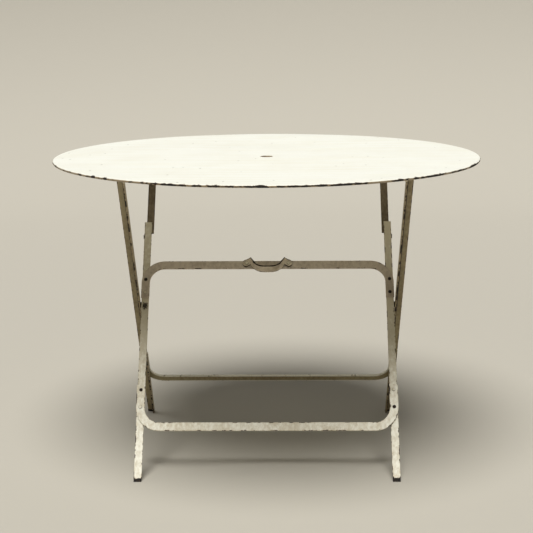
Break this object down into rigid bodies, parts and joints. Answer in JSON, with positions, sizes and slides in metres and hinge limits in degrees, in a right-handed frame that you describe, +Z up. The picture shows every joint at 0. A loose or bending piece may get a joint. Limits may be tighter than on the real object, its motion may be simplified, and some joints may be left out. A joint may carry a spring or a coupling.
{
  "type": "folding bistro table",
  "caption": "Round sheet-metal folding table on crossed angle-iron leg frames, with jointed rear links, U-bent stretchers and a bowed hand grip.",
  "frame": {"origin": "on the floor under the centre of the round top", "axes": "+Z up, -Y towards the side with the hand grip, +X to the right seen from there"},
  "size_m": [1, 1, 0.72],
  "materials": {
    "top_paint": "worn cream enamel, satin, faint brush marks",
    "frame_paint": "old cream paint, chipped at the edges, satin",
    "handle_paint": "old cream paint worn to bare iron on its edges",
    "bare_iron": "dark oxidised iron, matt"
  },
  "bodies": {
    "tabletop": {"tabletop_sheet": "top_paint", "rim_wire": "bare_iron", "bearer_left": "frame_paint", "bearer_right": "frame_paint", "front_ear_left": "frame_paint", "front_ear_right": "frame_paint", "rear_ear_left": "frame_paint", "rear_ear_right": "frame_paint", "ear_rivets": "bare_iron", "front_pivot_pins": "bare_iron", "rear_pivot_pins": "bare_iron"},
    "outer_frame": {"outer_leg_left": "frame_paint", "outer_leg_right": "frame_paint", "rear_stretcher": "frame_paint", "rear_stretcher_rivets": "bare_iron", "crossing_rivets": "bare_iron", "crossing_spacers": "bare_iron"},
    "links": {"link_left": "frame_paint", "link_right": "frame_paint", "knee_pins": "bare_iron", "knee_washers": "bare_iron"},
    "inner_frame": {"inner_leg_left": "frame_paint", "inner_leg_right": "frame_paint", "crossing_rivet_ends": "bare_iron", "upper_stretcher": "frame_paint", "upper_stretcher_rivets": "bare_iron", "lower_stretcher": "frame_paint", "lower_stretcher_rivets": "bare_iron", "handle": "handle_paint", "handle_rivets": "bare_iron"}
  },
  "joints": [
    {"name": "leg_fold", "type": "hinge", "parent": "tabletop", "child": "outer_frame", "pos_m": [0, -0.235, 0.698], "axis": [1, 0, 0], "range_deg": [0, 55.58]},
    {"name": "link_fold", "type": "hinge", "parent": "tabletop", "child": "links", "pos_m": [0, 0.235, 0.698], "axis": [1, 0, 0], "range_deg": [-55.58, 0]},
    {"name": "knee_fold", "type": "hinge", "parent": "links", "child": "inner_frame", "pos_m": [0, 0.10218, 0.50414], "axis": [1, 0, 0], "range_deg": [0, 180]}
  ],
  "couplings": [
    {"joint": "link_fold", "follows": "leg_fold", "ratio": -1},
    {"joint": "knee_fold", "follows": "leg_fold", "ratio": 3.2384}
  ]
}
